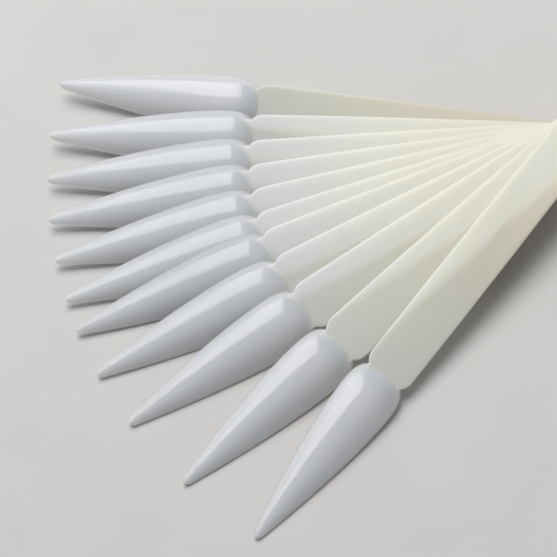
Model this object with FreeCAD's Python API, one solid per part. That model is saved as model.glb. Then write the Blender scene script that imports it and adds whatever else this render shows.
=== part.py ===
"""Fan of nail-art display sticks on one binding post.

Eleven identical moulded sticks, each a flat strip with a stiletto nail shell
at its end, are threaded on a two-piece binding post and fanned out.  Every
stick lies with its clockwise edge on top of the stick below it.
Row frame: origin at the middle of the post's flat base, +Z up along the post,
the fan opens towards -Y.  Units are millimetres.
"""
import FreeCAD, Part
import math
import os

Vec = FreeCAD.Vector

# ---- driving dimensions ----------------------------------------------------
STICK_REACH = 120.0       # post axis to nail tip
STRIP_WIDTH = 11.0        # flat strip of each stick
STRIP_THICK = 0.75
FLAT_REACH = 8.0          # the strip is flat this far from the post axis
TWIST_END = 72.0          # and fully twisted from here on
TWIST_DEG = 30.0          # roll of the nail, from leaning on the stick below
TWIST_SECTIONS = 5
SHOULDER_REACH = 75.0     # where the strip has narrowed to its neck
SHOULDER_RUN = 2.6        # length of the round shoulder before that
NECK_HALF = 4.4
TONGUE_REACH = 80.0       # the neck runs on inside the nail shell

NAIL_BASE = 74.8          # rounded base end of the nail
NAIL_WIDEST = 81.8
NAIL_HALF = 6.42          # half of the nail's greatest width
NAIL_BASE_SHARE = 0.45    # width of the base end, as a share of the greatest
NAIL_BASE_POWER = 2.6     # squareness of the rounded base end
TAPER_LOSS = 0.86         # share of the width lost by the tip
TAPER_POWER = 1.55
TIP_ROUND = 0.971         # the tip is rounded over the last part of the taper
CROWN_TOP = 2.85          # height of the nail's crown
CROWN_RISE = 6.5          # length over which the crown rises from the base
RISE_POWER = 2.6          # and how soon it does
CROWN_TIP = 0.6           # height of the crown at the tip
CROWN_POWER = 1.5
SHELL_WALL = 0.65
HOLLOW_START = 76.2       # the shell is solid before and after these
HOLLOW_END = 112.0
TIP_CUT = 0.1             # the last section stops this short of the tip

POST_RADIUS = 2.0
HOLE_RADIUS = 2.4
POST_HEAD_RADIUS = 4.5
POST_HEAD_THICK = 1.2
HEAD_EDGE_ROUND = 0.4
SCREW_RADIUS = 1.25
SCREW_CLEARANCE = 0.05
SCREW_LENGTH = 9.0
THREAD_DEPTH = 10.0       # tapped depth in the barrel
SLOT_WIDTH = 0.9
SLOT_DEPTH = 0.5
HEAD_GAP = 0.75           # room over the top stick for its slope

FIRST_LEVEL = 1.6         # underside of the lowest stick at the post
LEVEL_STEP = 1.1          # one stick to the next along the post
REST_GAP = 0.1            # the nails' lower rims stop this far above the table
FIRST_DIRECTION = 238.4   # degrees from +X to the lowest stick
SPREAD_STEPS = (6.6, 5.5, 5.1, 5.1, 5.0, 4.0, 5.8, 6.9, 9.3, 9.9)

BASE_STATIONS = 7         # sections over the nail's rounded base
TAPER_STATIONS = 9        # sections over its taper
CUT_MARGIN = 1.0          # how far cutting tools reach past a face


def twist_at(reach):
    """Roll of the strip about its own length, in degrees, at a reach."""
    share = (reach - FLAT_REACH) / (TWIST_END - FLAT_REACH)
    return TWIST_DEG * min(max(share, 0.0), 1.0)


def nail_half_width(reach):
    """Half width of the nail's outline: rounded base, long taper, round tip."""
    if reach <= NAIL_WIDEST:
        back = (NAIL_WIDEST - reach) / (NAIL_WIDEST - NAIL_BASE)
        swell = (1.0 - back ** NAIL_BASE_POWER) ** (1.0 / NAIL_BASE_POWER)
        return NAIL_HALF * (NAIL_BASE_SHARE + (1.0 - NAIL_BASE_SHARE) * swell)
    along = (reach - NAIL_WIDEST) / (STICK_REACH - NAIL_WIDEST)
    width = NAIL_HALF * (1.0 - TAPER_LOSS * along ** TAPER_POWER)
    if along > TIP_ROUND:
        end = (along - TIP_ROUND) / (1.0 - TIP_ROUND)
        width *= math.sqrt(1.0 - end ** 2)
    return width


def nail_crown(reach):
    """Height of the nail's crown above its rim."""
    crest = NAIL_BASE + CROWN_RISE
    if reach < crest:
        back = (crest - reach) / CROWN_RISE
        return STRIP_THICK + (CROWN_TOP - STRIP_THICK) * (1.0 - back ** RISE_POWER)
    along = (reach - crest) / (STICK_REACH - crest)
    return CROWN_TIP + (CROWN_TOP - CROWN_TIP) * (1.0 - along ** CROWN_POWER)


def nail_stations(start, end):
    """Reaches of the nail's sections, close together where it curves most."""
    swell = NAIL_WIDEST - NAIL_BASE
    taper = STICK_REACH - NAIL_WIDEST
    reaches = []
    for index in range(BASE_STATIONS):
        quarter = math.pi / 2.0 * index / BASE_STATIONS
        reaches.append(NAIL_BASE + swell * (1.0 - math.cos(quarter)))
    for index in range(TAPER_STATIONS):
        quarter = math.pi / 2.0 * index / TAPER_STATIONS
        reaches.append(NAIL_WIDEST + taper * math.sin(quarter))
    inside = [reach for reach in reaches if start < reach < end]
    return [start] + inside + [end]


def crown_section(reach, inset):
    """Closed section across the nail: a crown arc over its rim line.

    With an inset it is the hollow's section, which runs on below the rim.
    """
    half = nail_half_width(reach) - inset
    top = nail_crown(reach) - inset
    left, right = Vec(reach, half, 0.0), Vec(reach, -half, 0.0)
    edges = [Part.Arc(left, Vec(reach, 0.0, top), right).toShape()]
    if inset:
        below = Vec(0.0, 0.0, -CUT_MARGIN)
        corners = [right, right + below, left + below, left]
    else:
        corners = [right, left]
    for first, second in zip(corners, corners[1:]):
        edges.append(Part.makeLine(first, second))
    return Part.Wire(edges)


def make_nail():
    """Crowned shell with a rounded base and a long taper to the tip."""
    tip = STICK_REACH - TIP_CUT
    outside = [crown_section(reach, 0.0) for reach in nail_stations(NAIL_BASE, tip)]
    inside = [crown_section(reach, SHELL_WALL)
              for reach in nail_stations(HOLLOW_START, HOLLOW_END)]
    return Part.makeLoft(outside, True).cut(Part.makeLoft(inside, True))


def strip_section(reach):
    """Rectangle across the strip, rolled by the twist at that reach."""
    half = STRIP_WIDTH / 2.0
    corners = [Vec(reach, -half, 0.0), Vec(reach, half, 0.0),
               Vec(reach, half, STRIP_THICK), Vec(reach, -half, STRIP_THICK)]
    wire = Part.makePolygon(corners + corners[:1])
    wire.rotate(Vec(0, 0, 0), Vec(1, 0, 0), -twist_at(reach))
    return wire


def make_strip():
    """Flat round end with the post hole, then the twisted strip."""
    half = STRIP_WIDTH / 2.0
    end = Part.makeCylinder(half, STRIP_THICK)
    flat = Part.makeBox(FLAT_REACH, STRIP_WIDTH, STRIP_THICK, Vec(0.0, -half, 0.0))
    span = TWIST_END - FLAT_REACH
    reaches = [FLAT_REACH + span * index / (TWIST_SECTIONS - 1)
               for index in range(TWIST_SECTIONS)]
    twisted = Part.makeLoft([strip_section(reach) for reach in reaches], True)
    hole = Part.makeCylinder(HOLE_RADIUS, STRIP_THICK + 2.0 * CUT_MARGIN,
                             Vec(0.0, 0.0, -CUT_MARGIN))
    return end.fuse([flat, twisted]).cut(hole)


def make_neck():
    """End of the strip: shoulders on an arc, and a tongue into the nail shell."""
    half = STRIP_WIDTH / 2.0
    bend = SHOULDER_REACH - SHOULDER_RUN
    drop = half - NECK_HALF
    radius = (SHOULDER_RUN ** 2 + drop ** 2) / (2.0 * drop)
    turn = math.asin(SHOULDER_RUN / radius) / 2.0

    def shoulder(side):
        start = Vec(bend, side * half, 0.0)
        middle = Vec(bend + radius * math.sin(turn),
                     side * (half - radius * (1.0 - math.cos(turn))), 0.0)
        finish = Vec(SHOULDER_REACH, side * NECK_HALF, 0.0)
        return start, middle, finish

    right, left = shoulder(-1.0), shoulder(1.0)
    tongue_right = Vec(TONGUE_REACH, -NECK_HALF, 0.0)
    tongue_left = Vec(TONGUE_REACH, NECK_HALF, 0.0)
    start_right, start_left = Vec(TWIST_END, -half, 0.0), Vec(TWIST_END, half, 0.0)
    outline = [Part.makeLine(start_right, right[0]),
               Part.Arc(*right).toShape(),
               Part.makeLine(right[2], tongue_right),
               Part.makeLine(tongue_right, tongue_left),
               Part.makeLine(tongue_left, left[2]),
               Part.Arc(*reversed(left)).toShape(),
               Part.makeLine(left[0], start_left),
               Part.makeLine(start_left, start_right)]
    return Part.Face(Part.Wire(outline)).extrude(Vec(0.0, 0.0, STRIP_THICK))


def make_stick():
    """One whole moulded stick along +X, flat at the post and rolled at the nail."""
    head = make_nail().fuse(make_neck())
    head.rotate(Vec(0, 0, 0), Vec(1, 0, 0), -TWIST_DEG)
    return make_strip().fuse(head).removeSplitter()


def resting_slope(level):
    """Slope, in degrees, that brings the nail's lower rim down to the table."""
    slopes = []
    for reach in nail_stations(NAIL_BASE, STICK_REACH - TIP_CUT):
        sag = nail_half_width(reach) * math.sin(math.radians(TWIST_DEG))
        distance = math.hypot(reach, sag)
        slopes.append(math.atan2(sag, reach) - math.asin((level - REST_GAP) / distance))
    return math.degrees(max(slopes))


def place_stick(stick, level, direction):
    """Copy of the stick at its level on the post, sloped and swung into the fan."""
    placed = stick.copy()
    placed.rotate(Vec(0, 0, 0), Vec(0, 1, 0), -resting_slope(level))
    placed.rotate(Vec(0, 0, 0), Vec(0, 0, 1), direction)
    placed.translate(Vec(0.0, 0.0, level))
    return placed


def make_barrel(height):
    """Lower half of the binding post: flat head and a tapped tube."""
    head = Part.makeCylinder(POST_HEAD_RADIUS, POST_HEAD_THICK)
    head = head.makeFillet(HEAD_EDGE_ROUND, [head.Edges[0]])
    tube = Part.makeCylinder(POST_RADIUS, height)
    bore = Part.makeCylinder(SCREW_RADIUS, THREAD_DEPTH + CUT_MARGIN,
                             Vec(0.0, 0.0, height - THREAD_DEPTH))
    return head.fuse(tube).cut(bore).removeSplitter()


def make_screw(seat):
    """Upper half of the binding post: slotted head and a shank in the barrel."""
    head = Part.makeCylinder(POST_HEAD_RADIUS, POST_HEAD_THICK, Vec(0.0, 0.0, seat))
    head = head.makeFillet(HEAD_EDGE_ROUND, [head.Edges[0]])
    shank = Part.makeCylinder(SCREW_RADIUS - SCREW_CLEARANCE, SCREW_LENGTH,
                              Vec(0.0, 0.0, seat - SCREW_LENGTH))
    slot = Part.makeBox(2.0 * POST_HEAD_RADIUS, SLOT_WIDTH, SLOT_DEPTH + CUT_MARGIN)
    slot.translate(Vec(-POST_HEAD_RADIUS, -SLOT_WIDTH / 2.0,
                       seat + POST_HEAD_THICK - SLOT_DEPTH))
    return head.fuse(shank).cut(slot).removeSplitter()


def main():
    os.makedirs("parts", exist_ok=True)
    stick = make_stick()
    direction = FIRST_DIRECTION
    level = FIRST_LEVEL
    for number in range(1, len(SPREAD_STEPS) + 2):
        place_stick(stick, level, direction).exportStep(f"parts/stick_{number:02d}.step")
        if number <= len(SPREAD_STEPS):
            direction += SPREAD_STEPS[number - 1]
            level += LEVEL_STEP
    post_top = level + STRIP_THICK + HEAD_GAP
    make_barrel(post_top).exportStep("parts/post_barrel.step")
    make_screw(post_top).exportStep("parts/post_screw.step")


main()
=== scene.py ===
"""Looks of the nail-stick fan: refined sticks, materials, camera and light.

The scene is in metres in the row frame: +Z up along the binding post, the fan
opens towards -Y.  Each stick is one moulding, built flat in millimetres in its
own frame, with +X from the post to the nail's tip; it is then rolled along its
length and placed at its level on the post.
"""
import math

import bmesh
import bpy
from mathutils import Matrix, Vector


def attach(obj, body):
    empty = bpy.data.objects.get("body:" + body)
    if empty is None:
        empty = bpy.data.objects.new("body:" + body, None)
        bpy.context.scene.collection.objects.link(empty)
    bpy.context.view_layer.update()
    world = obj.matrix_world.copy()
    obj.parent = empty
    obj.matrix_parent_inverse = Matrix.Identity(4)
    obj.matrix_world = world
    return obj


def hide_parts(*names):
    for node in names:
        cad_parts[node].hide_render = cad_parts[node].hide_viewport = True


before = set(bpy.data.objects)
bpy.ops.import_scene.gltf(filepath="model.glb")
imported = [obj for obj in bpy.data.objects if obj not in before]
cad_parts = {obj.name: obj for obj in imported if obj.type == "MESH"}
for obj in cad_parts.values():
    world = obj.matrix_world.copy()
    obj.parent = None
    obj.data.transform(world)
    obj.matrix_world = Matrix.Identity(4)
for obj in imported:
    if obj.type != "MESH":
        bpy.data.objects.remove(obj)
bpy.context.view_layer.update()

MM = 0.001

# ---- stick, in millimetres and degrees --------------------------------------
STICK_REACH = 120.0       # post axis to nail tip
STRIP_WIDTH = 11.0
STRIP_THICK = 0.75
STRIP_EDGE = 0.3          # rounding of the strip's long edges
EDGE_SHARE = 0.45         # but at most this share of its half width, at its round end
LEAST_STRIP_HALF = 0.25   # half width where the round end starts
FLAT_REACH = 8.0          # the strip is flat this far from the post axis
TWIST_END = 72.0          # and fully rolled from here on
TWIST_DEG = 30.0          # roll of the nail, from leaning on the stick below
SHOULDER_REACH = 75.0     # where the strip has narrowed to its neck
SHOULDER_RUN = 2.6        # length of the round shoulder before that
NECK_HALF = 4.4
TONGUE_RUN = 1.2          # from the shoulder to the next section of the mesh
TONGUE_REACH = 80.0       # the neck runs on inside the nail shell to here
HOLE_RADIUS = 2.4
CUTTER_HEIGHT = 4.0       # of the cylinder that cuts the hole

NAIL_BASE = 74.8          # rounded base end of the nail
NAIL_WIDEST = 81.8
NAIL_HALF = 6.42          # half of the nail's greatest width
LEAST_NAIL_HALF = 0.12    # and of its least, at the very tip
NAIL_BASE_SHARE = 0.45    # width of the base end, as a share of the greatest
NAIL_BASE_POWER = 2.6     # squareness of the rounded base end
TAPER_LOSS = 0.86         # share of the width lost by the tip
TAPER_POWER = 1.55
TIP_ROUND = 0.971         # the tip is rounded over the last part of the taper
CROWN_TOP = 2.85          # height of the nail's crown
CROWN_RISE = 6.5          # length over which the crown rises from the base
RISE_POWER = 2.6          # and how soon it does
CROWN_TIP = 0.6           # height of the crown at the tip
CROWN_POWER = 1.5
SHELL_WALL = 0.65
WALL_SIDE_SHARE = 0.45    # but at most this share of the nail's half width
WALL_TOP_SHARE = 0.6      # and this share of its height

# ---- steps of the stick's mesh ----------------------------------------------
END_STEPS = 16            # along the strip's round end
SIDE_STEPS = 48           # along its parallel sides
SHOULDER_STEPS = 10       # along its round shoulders
EDGE_STEPS = 7            # round each long edge
FACE_STEPS = 14           # and across each wide face
HOLE_STEPS = 64           # round the hole
BASE_STEPS = 26           # along the nail, from its base to its widest place
TAPER_STEPS = 64          # and from there to its tip
CROWN_STEPS = 40          # over the nail's crown
OUTER_CREASE = math.radians(40.0)   # outside edges at least this steep are shaded sharp
INNER_CREASE = math.radians(10.0)   # and inside ones from here

# ---- the fan, in millimetres and degrees ------------------------------------
FIRST_LEVEL = 1.6         # underside of the lowest stick at the post
LEVEL_STEP = 1.1          # one stick to the next along the post
REST_GAP = 0.1            # the nails' lower rims stop this far above the table
FIRST_DIRECTION = 238.4   # from +X to the lowest stick
SPREAD_STEPS = (6.6, 5.5, 5.1, 5.1, 5.0, 4.0, 5.8, 6.9, 9.3, 9.9)   # lowest first

# ---- where the plastic's looks change and light and shade are painted, in millimetres and layers ---
NAIL_BLEND = 0.5          # the strip's look turns into the nail's over this distance
PAINTED_RIM_LIGHT_WIDTH = 0.45           # painted light: the nail's thin rim is painted lighter over this width
LAYER_BLUR = 2.2          # width over which a lower strip's edge shows through the next, in the painted shade
LAYER_SHOWS_THROUGH = 0.4   # share of what is below that one strip lets through, in the painted shade
LIGHT_FROM_BELOW = 0.03   # painted light: counts as this much of a layer for each stick below
LIGHT_FROM_ABOVE = 0.18   # painted light: and as this much where another stick lies above

# ---- colour sockets of a mixing node, by number as their names repeat --------
MIX_UNDER, MIX_OVER, MIX_RESULT = 6, 7, 2


# ---- shape of one stick -----------------------------------------------------
def unit(value):
    """The value, kept between 0 and 1."""
    return min(max(value, 0.0), 1.0)


def twist_at(reach):
    """Roll of the strip about its own length, in radians."""
    share = (reach - FLAT_REACH) / (TWIST_END - FLAT_REACH)
    return math.radians(TWIST_DEG) * unit(share)


def nail_half_width(reach):
    """Half width of the nail's outline: rounded base, long taper, round tip."""
    if reach <= NAIL_WIDEST:
        back = min((NAIL_WIDEST - reach) / (NAIL_WIDEST - NAIL_BASE), 1.0)
        swell = (1.0 - back ** NAIL_BASE_POWER) ** (1.0 / NAIL_BASE_POWER)
        return NAIL_HALF * (NAIL_BASE_SHARE + (1.0 - NAIL_BASE_SHARE) * swell)
    along = min((reach - NAIL_WIDEST) / (STICK_REACH - NAIL_WIDEST), 1.0)
    width = NAIL_HALF * (1.0 - TAPER_LOSS * along ** TAPER_POWER)
    if along > TIP_ROUND:
        end = (along - TIP_ROUND) / (1.0 - TIP_ROUND)
        width *= math.sqrt(max(1.0 - end ** 2, 0.0))
    return width


def nail_crown(reach):
    """Height of the nail's crown above its rim."""
    crest = NAIL_BASE + CROWN_RISE
    if reach < crest:
        back = min((crest - reach) / CROWN_RISE, 1.0)
        return STRIP_THICK + (CROWN_TOP - STRIP_THICK) * (1.0 - back ** RISE_POWER)
    along = (reach - crest) / (STICK_REACH - crest)
    return CROWN_TIP + (CROWN_TOP - CROWN_TIP) * (1.0 - along ** CROWN_POWER)


def crown_arc(half, top):
    """Points (across, up) over a circular crown, from the left rim to the right."""
    radius = (half ** 2 + top ** 2) / (2.0 * top)
    sweep = math.asin(min(half / radius, 1.0))
    if top > half:
        sweep = math.pi - sweep
    points = []
    for index in range(CROWN_STEPS + 1):
        angle = sweep * (1.0 - 2.0 * index / CROWN_STEPS)
        points.append((radius * math.sin(angle), radius * math.cos(angle) - radius + top))
    return points


def nail_reaches():
    """Stations along the nail, closest where its outline turns fastest."""
    reaches = []
    swell = NAIL_WIDEST - NAIL_BASE
    taper = STICK_REACH - NAIL_WIDEST
    for index in range(BASE_STEPS):
        angle = math.pi / 2.0 * index / BASE_STEPS
        reaches.append(NAIL_BASE + swell * (1.0 - math.cos(angle)))
    for index in range(TAPER_STEPS + 1):
        angle = math.pi / 2.0 * index / TAPER_STEPS
        reaches.append(NAIL_WIDEST + taper * math.sin(angle))
    return reaches


def bridge_rings(mesh, rings):
    """Closed skin through equal rings of points, capped at both ends."""
    loops = [[mesh.verts.new(point) for point in ring] for ring in rings]
    count = len(loops[0])
    for first, second in zip(loops, loops[1:]):
        for index in range(count):
            after = (index + 1) % count
            mesh.faces.new((first[index], first[after], second[after], second[index]))
    mesh.faces.new(list(reversed(loops[0])))
    mesh.faces.new(loops[-1])


def mesh_object(name, mesh):
    """New object in the scene, which takes over the bmesh."""
    bmesh.ops.recalc_face_normals(mesh, faces=mesh.faces)
    data = bpy.data.meshes.new(name)
    mesh.to_mesh(data)
    mesh.free()
    made = bpy.data.objects.new(name, data)
    bpy.context.collection.objects.link(made)
    return made


def make_shell():
    """Nail shell: crown outside, hollow below, and a flat rim between them."""
    rings = []
    for reach in nail_reaches():
        half = max(nail_half_width(reach), LEAST_NAIL_HALF)
        top = nail_crown(reach)
        wall = min(SHELL_WALL, WALL_SIDE_SHARE * half, WALL_TOP_SHARE * top)
        outside = crown_arc(half, top)
        inside = crown_arc(half - wall, top - wall)
        rings.append([(reach, across, up) for across, up in outside + inside[::-1]])
    mesh = bmesh.new()
    bridge_rings(mesh, rings)
    return mesh_object("shell", mesh)


def strip_ring(reach, half):
    """Rounded rectangle across the strip, with points along its wide faces."""
    edge = min(STRIP_EDGE, EDGE_SHARE * half)
    flat = half - edge
    ring = []
    for side in (1.0, -1.0):
        # round this side's edge, then across a face to the other side
        for index in range(EDGE_STEPS + 1):
            angle = math.radians(180.0 * index / EDGE_STEPS - 90.0 * side)
            centre_up = STRIP_THICK - edge if math.sin(angle) > 0.0 else edge
            ring.append((reach, side * flat + edge * math.cos(angle),
                         centre_up + edge * math.sin(angle)))
        up = STRIP_THICK if side > 0.0 else 0.0
        for index in range(1, FACE_STEPS):
            ring.append((reach, side * flat * (1.0 - 2.0 * index / FACE_STEPS), up))
    return ring


def strip_half_width(reach):
    """Half width of the strip: round end, parallel sides, round shoulders."""
    half = STRIP_WIDTH / 2.0
    if reach < 0.0:
        return max(math.sqrt(max(half ** 2 - reach ** 2, 0.0)), LEAST_STRIP_HALF)
    bend = SHOULDER_REACH - SHOULDER_RUN
    if reach > bend:
        drop = half - NECK_HALF
        radius = (SHOULDER_RUN ** 2 + drop ** 2) / (2.0 * drop)
        past = min(reach - bend, SHOULDER_RUN)
        return half - radius + math.sqrt(radius ** 2 - past ** 2)
    return half


def strip_reaches():
    """Stations along the strip: round end, parallel sides, shoulders, tongue."""
    half = STRIP_WIDTH / 2.0
    reaches = [-half * math.cos(math.pi / 2.0 * index / END_STEPS)
               for index in range(END_STEPS)]
    bend = SHOULDER_REACH - SHOULDER_RUN
    reaches += [bend * index / SIDE_STEPS for index in range(SIDE_STEPS)]
    reaches += [bend + SHOULDER_RUN * index / SHOULDER_STEPS
                for index in range(SHOULDER_STEPS + 1)]
    reaches += [SHOULDER_REACH + TONGUE_RUN, TONGUE_REACH]
    return reaches


def make_strip():
    """Flat strip with its tongue, before the hole is cut."""
    mesh = bmesh.new()
    bridge_rings(mesh, [strip_ring(reach, strip_half_width(reach))
                        for reach in strip_reaches()])
    return mesh_object("strip", mesh)


def make_hole_cutter():
    mesh = bmesh.new()
    bmesh.ops.create_cone(mesh, cap_ends=True, segments=HOLE_STEPS, radius1=HOLE_RADIUS,
                          radius2=HOLE_RADIUS, depth=CUTTER_HEIGHT)
    return mesh_object("hole_cutter", mesh)


def combine(target, other, operation):
    """Boolean of two closed meshes, applied; the second one is used up."""
    cut = target.modifiers.new("combine", "BOOLEAN")
    cut.operation = operation
    cut.object = other
    cut.solver = "EXACT"
    graph = bpy.context.evaluated_depsgraph_get()
    result = bpy.data.meshes.new_from_object(target.evaluated_get(graph))
    target.modifiers.clear()
    target.data = result
    bpy.data.objects.remove(other)


def smooth_but_creased(data):
    """Smooth shading, kept sharp at inside corners and at steep outside ones."""
    data.shade_smooth()
    mesh = bmesh.new()
    mesh.from_mesh(data)
    for edge in mesh.edges:
        if len(edge.link_faces) == 2:
            limit = OUTER_CREASE if edge.is_convex else INNER_CREASE
            edge.smooth = edge.calc_face_angle(0.0) < limit
    mesh.to_mesh(data)
    mesh.free()


def nail_share(reach, across, up):
    """Whether a point is on the nail (1) or on the strip (0), softly joined."""
    if reach <= NAIL_BASE:
        return 0.0
    outside = max(up - STRIP_THICK, abs(across) - NECK_HALF, reach - TONGUE_REACH)
    return unit(outside / NAIL_BLEND)


def rim_share(reach, across):
    """How near a point is to the nail's thin outer rim, from 0 to 1, where the rim is painted
    lighter.
    """
    reach = min(reach, STICK_REACH)
    if reach <= NAIL_WIDEST:
        return 0.0
    inside = nail_half_width(reach) - abs(across)
    return unit(1.0 - min(inside, STICK_REACH - reach) / PAINTED_RIM_LIGHT_WIDTH)


def store(data, name, values):
    """Stores one value for each point of a mesh, which its material reads."""
    layer = data.attributes.new(name, "FLOAT", "POINT")
    for item, value in zip(layer.data, values):
        item.value = value


def make_stick_shape():
    """Whole moulding in its own frame, rolled along its length, in millimetres."""
    whole = make_strip()
    combine(whole, make_hole_cutter(), "DIFFERENCE")
    combine(whole, make_shell(), "UNION")
    points = [tuple(vertex.co) for vertex in whole.data.vertices]
    store(whole.data, "reach", [unit(reach / STICK_REACH) for reach, across, up in points])
    store(whole.data, "nail", [nail_share(reach, across, up) for reach, across, up in points])
    # where the nail's thin rim is painted lighter
    store(whole.data, "rim", [rim_share(reach, across) for reach, across, up in points])
    for vertex in whole.data.vertices:
        angle = -twist_at(vertex.co.x)
        across, up = vertex.co.y, vertex.co.z
        vertex.co.y = across * math.cos(angle) - up * math.sin(angle)
        vertex.co.z = across * math.sin(angle) + up * math.cos(angle)
    return whole


# ---- placing the sticks -----------------------------------------------------
def resting_slope(level):
    """Slope, in radians, that brings the nail's lower rim down to the table."""
    slopes = []
    for reach in nail_reaches():
        sag = nail_half_width(reach) * math.sin(math.radians(TWIST_DEG))
        distance = math.hypot(reach, sag)
        slopes.append(math.atan2(sag, reach) - math.asin((level - REST_GAP) / distance))
    return max(slopes)


def stick_matrix(level, direction):
    """Places a stick on the post, in metres, at a level and a direction."""
    swing = Matrix.Rotation(math.radians(direction), 4, "Z")
    slope = Matrix.Rotation(-resting_slope(level), 4, "Y")
    lift = Matrix.Translation((0.0, 0.0, level * MM))
    return lift @ swing @ slope @ Matrix.Scale(MM, 4)


# ---- materials --------------------------------------------------------------
def node_material(name):
    """New node material, with what is needed to build it."""
    material = bpy.data.materials.new(name)
    material.use_nodes = True
    nodes = material.node_tree.nodes
    return material, nodes, material.node_tree.links, nodes["Principled BSDF"]


def ramp(nodes, links, value, stops):
    """Colour that follows a value from 0 to 1 through its stops (value, colour)."""
    made = nodes.new("ShaderNodeValToRGB")
    elements = made.color_ramp.elements
    while len(elements) < len(stops):
        elements.new(0.5)
    for element, (place, colour) in zip(elements, stops):
        element.position = place
        element.color = (*colour, 1.0)
    links.new(value, made.inputs["Fac"])
    return made.outputs["Color"]


def noise(nodes, links, vector, scale, detail):
    """Soft random pattern, from 0 to 1."""
    made = nodes.new("ShaderNodeTexNoise")
    made.inputs["Scale"].default_value = scale
    made.inputs["Detail"].default_value = detail
    links.new(vector, made.inputs["Vector"])
    return made.outputs["Fac"]


def object_place(nodes):
    """Where a point is, in the object's own frame."""
    return nodes.new("ShaderNodeTexCoord").outputs["Object"]


def emboss(nodes, links, shader, height, strength, distance):
    """Makes a pattern show as faint relief."""
    bump = nodes.new("ShaderNodeBump")
    bump.inputs["Strength"].default_value = strength
    bump.inputs["Distance"].default_value = distance
    links.new(height, bump.inputs["Height"])
    links.new(bump.outputs["Normal"], shader.inputs["Normal"])


def stored(nodes, name):
    """A value stored on the mesh's points, read back in the material."""
    made = nodes.new("ShaderNodeAttribute")
    made.attribute_name = name
    return made.outputs["Fac"]


def feed(links, socket, value):
    """Gives a socket another node's output, or a plain value."""
    if isinstance(value, bpy.types.NodeSocket):
        links.new(value, socket)
    else:
        socket.default_value = value


def blend(nodes, links, way, amount, under, over):
    """Mix of two colours; each input is a plain value or another node's output."""
    made = nodes.new("ShaderNodeMix")
    made.data_type = "RGBA"
    made.blend_type = way
    feed(links, made.inputs["Factor"], amount)
    feed(links, made.inputs[MIX_UNDER], under)
    feed(links, made.inputs[MIX_OVER], over)
    return made.outputs[MIX_RESULT]


def milky_plastic():
    """Milk-white moulded plastic, cool on the nail and creamier down the strip, with painted
    light and shade: lighter towards the post, greyer where fewer strips lie below, and a lighter
    nail rim.
    """
    material, nodes, links, shader = node_material("milky_plastic")
    reach, nail = stored(nodes, "reach"), stored(nodes, "nail")
    # the strip's own cream tint, with painted light: lighter and creamier towards the post, where
    # the strips stack
    strip_tint_and_painted_light = ramp(nodes, links, reach, (
        (0.0, (0.95, 0.875, 0.69)), (0.25, (0.95, 0.87, 0.69)), (0.35, (0.965, 0.90, 0.74)),
        (0.45, (0.985, 0.95, 0.81)), (0.55, (0.99, 0.98, 0.87)), (0.64, (0.99, 0.98, 0.90))))
    # the nail's own cool white, darker towards its tip, and painted lighter at its base where it
    # lies in shade
    nail_tint_and_painted_light = ramp(nodes, links, reach, (
        (0.66, (0.765, 0.782, 0.795)), (0.75, (0.72, 0.742, 0.765)), (1.0, (0.67, 0.693, 0.72))))
    # painted light: the nail's thin rim is painted lighter, as if lit through
    painted_rim_light_tint = (0.93, 0.91, 0.88, 1.0)
    # painted shade and light: a strip is painted greyer where fewer others lie below it, and
    # lighter for each stick below it and where another lies above
    depth = ramp(nodes, links, stored(nodes, "painted_backing_light"), (
        (0.0, (0.585, 0.605, 0.63)), (0.7, (1.0, 1.0, 1.0))))
    strip_with_painted_shade = blend(nodes, links, "MULTIPLY", 1.0, strip_tint_and_painted_light, depth)
    whole = blend(nodes, links, "MIX", nail, strip_with_painted_shade, nail_tint_and_painted_light)
    with_painted_rim_light = blend(nodes, links, "MIX", stored(nodes, "rim"), whole, painted_rim_light_tint)
    links.new(with_painted_rim_light, shader.inputs["Base Color"])
    # satin on the strip, glossy on the nail
    gloss = nodes.new("ShaderNodeMapRange")
    gloss.inputs["To Min"].default_value = 0.42
    gloss.inputs["To Max"].default_value = 0.03
    links.new(nail, gloss.inputs["Value"])
    links.new(gloss.outputs["Result"], shader.inputs["Roughness"])
    haze = noise(nodes, links, object_place(nodes), scale=900.0, detail=3.0)
    emboss(nodes, links, shader, haze, strength=0.02, distance=0.0001)
    shader.inputs["IOR"].default_value = 1.49
    shader.inputs["Specular IOR Level"].default_value = 0.36
    shader.inputs["Subsurface Weight"].default_value = 1.0
    shader.inputs["Subsurface Radius"].default_value = (1.0, 0.95, 0.85)
    shader.inputs["Subsurface Scale"].default_value = 0.002
    return material


def nickel():
    """Nickel-plated steel of the binding post, with faint turned rings."""
    material, nodes, links, shader = node_material("nickel_plate")
    rings = nodes.new("ShaderNodeTexWave")
    rings.wave_type = "RINGS"
    rings.rings_direction = "Z"
    rings.inputs["Scale"].default_value = 1500.0
    rings.inputs["Distortion"].default_value = 0.6
    links.new(object_place(nodes), rings.inputs["Vector"])
    tint = ramp(nodes, links, rings.outputs["Fac"], (
        (0.0, (0.58, 0.57, 0.55)), (1.0, (0.66, 0.65, 0.63))))
    links.new(tint, shader.inputs["Base Color"])
    emboss(nodes, links, shader, rings.outputs["Fac"], strength=0.12, distance=0.00005)
    shader.inputs["Metallic"].default_value = 1.0
    shader.inputs["Roughness"].default_value = 0.34
    return material


def pale_floor():
    """Plain pale table top, with a faint grain."""
    material, nodes, links, shader = node_material("pale_floor")
    grain = noise(nodes, links, object_place(nodes), scale=60.0, detail=4.0)
    tint = ramp(nodes, links, grain, ((0.3, (0.70, 0.68, 0.655)), (0.7, (0.72, 0.70, 0.675))))
    links.new(tint, shader.inputs["Base Color"])
    shader.inputs["Roughness"].default_value = 0.85
    return material


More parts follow.
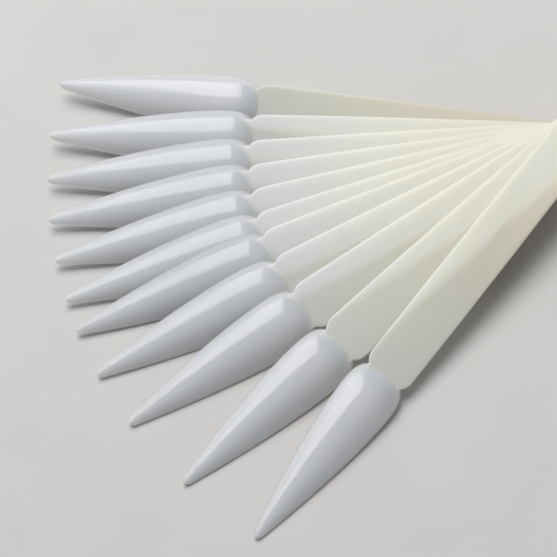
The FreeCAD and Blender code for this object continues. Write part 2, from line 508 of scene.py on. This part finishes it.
# ---- the sticks -------------------------------------------------------------
def sticks_below(reach, across, number, directions):
    """How many lower strips lie under a point of a stick, with soft borders."""
    turn = math.radians(directions[number]) + math.atan2(across, reach)
    distance = math.hypot(reach, across)
    layers = 0.0
    for lower in directions[:number]:
        offset = distance * abs(math.sin(turn - math.radians(lower)))
        layers += unit((STRIP_WIDTH / 2.0 - offset) / LAYER_BLUR + 0.5)
    return layers


def painted_backing_light(points, number, directions):
    """How light each point of a stick is painted, from 0 to 1: backed by the strips below, plus
    painted light from below and from a stick above.
    """
    painted_stray_light = LIGHT_FROM_BELOW * number
    if number < len(directions) - 1:
        painted_stray_light += LIGHT_FROM_ABOVE
    return [1.0 - LAYER_SHOWS_THROUGH ** (sticks_below(reach, across, number, directions) + painted_stray_light)
            for reach, across in points]


def make_sticks():
    """All the sticks, each a copy of one pattern at its own level and direction."""
    plastic = milky_plastic()
    pattern = make_stick_shape()
    # how far along the stick each point is, and how far to either side of its
    # axis; the roll changes neither
    points = [(vertex.co.x, math.copysign(math.hypot(vertex.co.y, vertex.co.z), vertex.co.y))
              for vertex in pattern.data.vertices]
    smooth_but_creased(pattern.data)
    directions = [FIRST_DIRECTION + sum(SPREAD_STEPS[:index])
                  for index in range(len(SPREAD_STEPS) + 1)]
    for index, direction in enumerate(directions):
        data = pattern.data.copy()
        # the painted shade and light of this strip, read by its material
        store(data, "painted_backing_light", painted_backing_light(points, index, directions))
        data.transform(stick_matrix(FIRST_LEVEL + LEVEL_STEP * index, direction))
        data.materials.clear()
        data.materials.append(plastic)
        name = f"stick_{index + 1:02d}"
        stick = bpy.data.objects.new(f"display_{name}", data)
        bpy.context.collection.objects.link(stick)
        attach(stick, name)
        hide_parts(name)
    bpy.data.objects.remove(pattern)


def plate_post():
    """The post keeps the shape of its two CAD pieces and is nickel-plated."""
    metal = nickel()
    for name in ("post_barrel", "post_screw"):
        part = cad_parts[name]
        part.data.materials.clear()
        part.data.materials.append(metal)


# ---- stage, in metres and degrees -------------------------------------------
CAMERA_AZIMUTH = 77.75
CAMERA_ELEVATION = 55.81
CAMERA_ROLL = -9.61
CAMERA_DISTANCE = 893.8 * MM
CAMERA_TARGET = Vector((6.6, -75.5, 5.0)) * MM
CAMERA_LENS = 268.3       # focal length in millimetres, on a full-frame sensor
SENSOR_WIDTH = 36.0
NAILS_RIGHT, NAILS_AWAY = -0.078, -0.034   # the nails' middle, from the post
FLOOR_HALF = 1.5
FLOOR_DROP = 0.0002       # keeps the floor clear of the post's flat base


def make_camera():
    """Long lens from the right of the fan, above the table, slightly rolled."""
    turn, rise = math.radians(CAMERA_AZIMUTH), math.radians(CAMERA_ELEVATION)
    back = Vector((math.sin(turn) * math.cos(rise), -math.cos(turn) * math.cos(rise),
                   math.sin(rise)))
    data = bpy.data.cameras.new("camera")
    data.lens = CAMERA_LENS
    data.sensor_width = SENSOR_WIDTH
    data.clip_start, data.clip_end = 0.01, 10.0
    camera = bpy.data.objects.new("camera", data)
    bpy.context.collection.objects.link(camera)
    camera.location = CAMERA_TARGET + back * CAMERA_DISTANCE
    aim = (-back).to_track_quat("-Z", "Y")
    roll = Matrix.Rotation(math.radians(CAMERA_ROLL), 3, "Z").to_quaternion()
    camera.rotation_mode = "QUATERNION"
    camera.rotation_quaternion = aim @ roll
    bpy.context.scene.camera = camera


def add_softbox(name, right, away, height, size, power):
    """Rectangular light facing down, placed in metres from the nails' middle.

    Right and away are as the camera sees the table.
    """
    turn = math.radians(CAMERA_AZIMUTH)
    right_way = Vector((math.cos(turn), math.sin(turn), 0.0))
    away_way = Vector((-math.sin(turn), math.cos(turn), 0.0))
    data = bpy.data.lights.new(name, "AREA")
    data.shape = "RECTANGLE"
    data.size, data.size_y = size
    data.energy = power
    light = bpy.data.objects.new(name, data)
    bpy.context.collection.objects.link(light)
    light.location = (right_way * (right + NAILS_RIGHT) + away_way * (away + NAILS_AWAY)
                      + Vector((0.0, 0.0, height)))
    light.rotation_euler = (0.0, 0.0, turn)


def make_floor():
    mesh = bmesh.new()
    bmesh.ops.create_grid(mesh, x_segments=2, y_segments=2, size=FLOOR_HALF)
    floor = mesh_object("floor", mesh)
    floor.location = (0.0, 0.0, -FLOOR_DROP)
    floor.data.materials.append(pale_floor())


def make_light():
    """Two softboxes above and behind the nails, and a faint even sky."""
    world = bpy.data.worlds.new("studio")
    bpy.context.scene.world = world
    world.use_nodes = True
    backdrop = world.node_tree.nodes["Background"]
    backdrop.inputs["Color"].default_value = (0.93, 0.95, 1.0, 1.0)
    backdrop.inputs["Strength"].default_value = 0.25
    add_softbox("key_softbox", right=-0.02, away=0.42, height=0.9, size=(0.50, 0.84), power=6.6)
    add_softbox("side_softbox", right=-0.46, away=0.42, height=0.9, size=(0.38, 0.84), power=2.1)
    bpy.context.scene.view_settings.view_transform = "Standard"


make_camera()
make_sticks()
plate_post()
make_floor()
make_light()
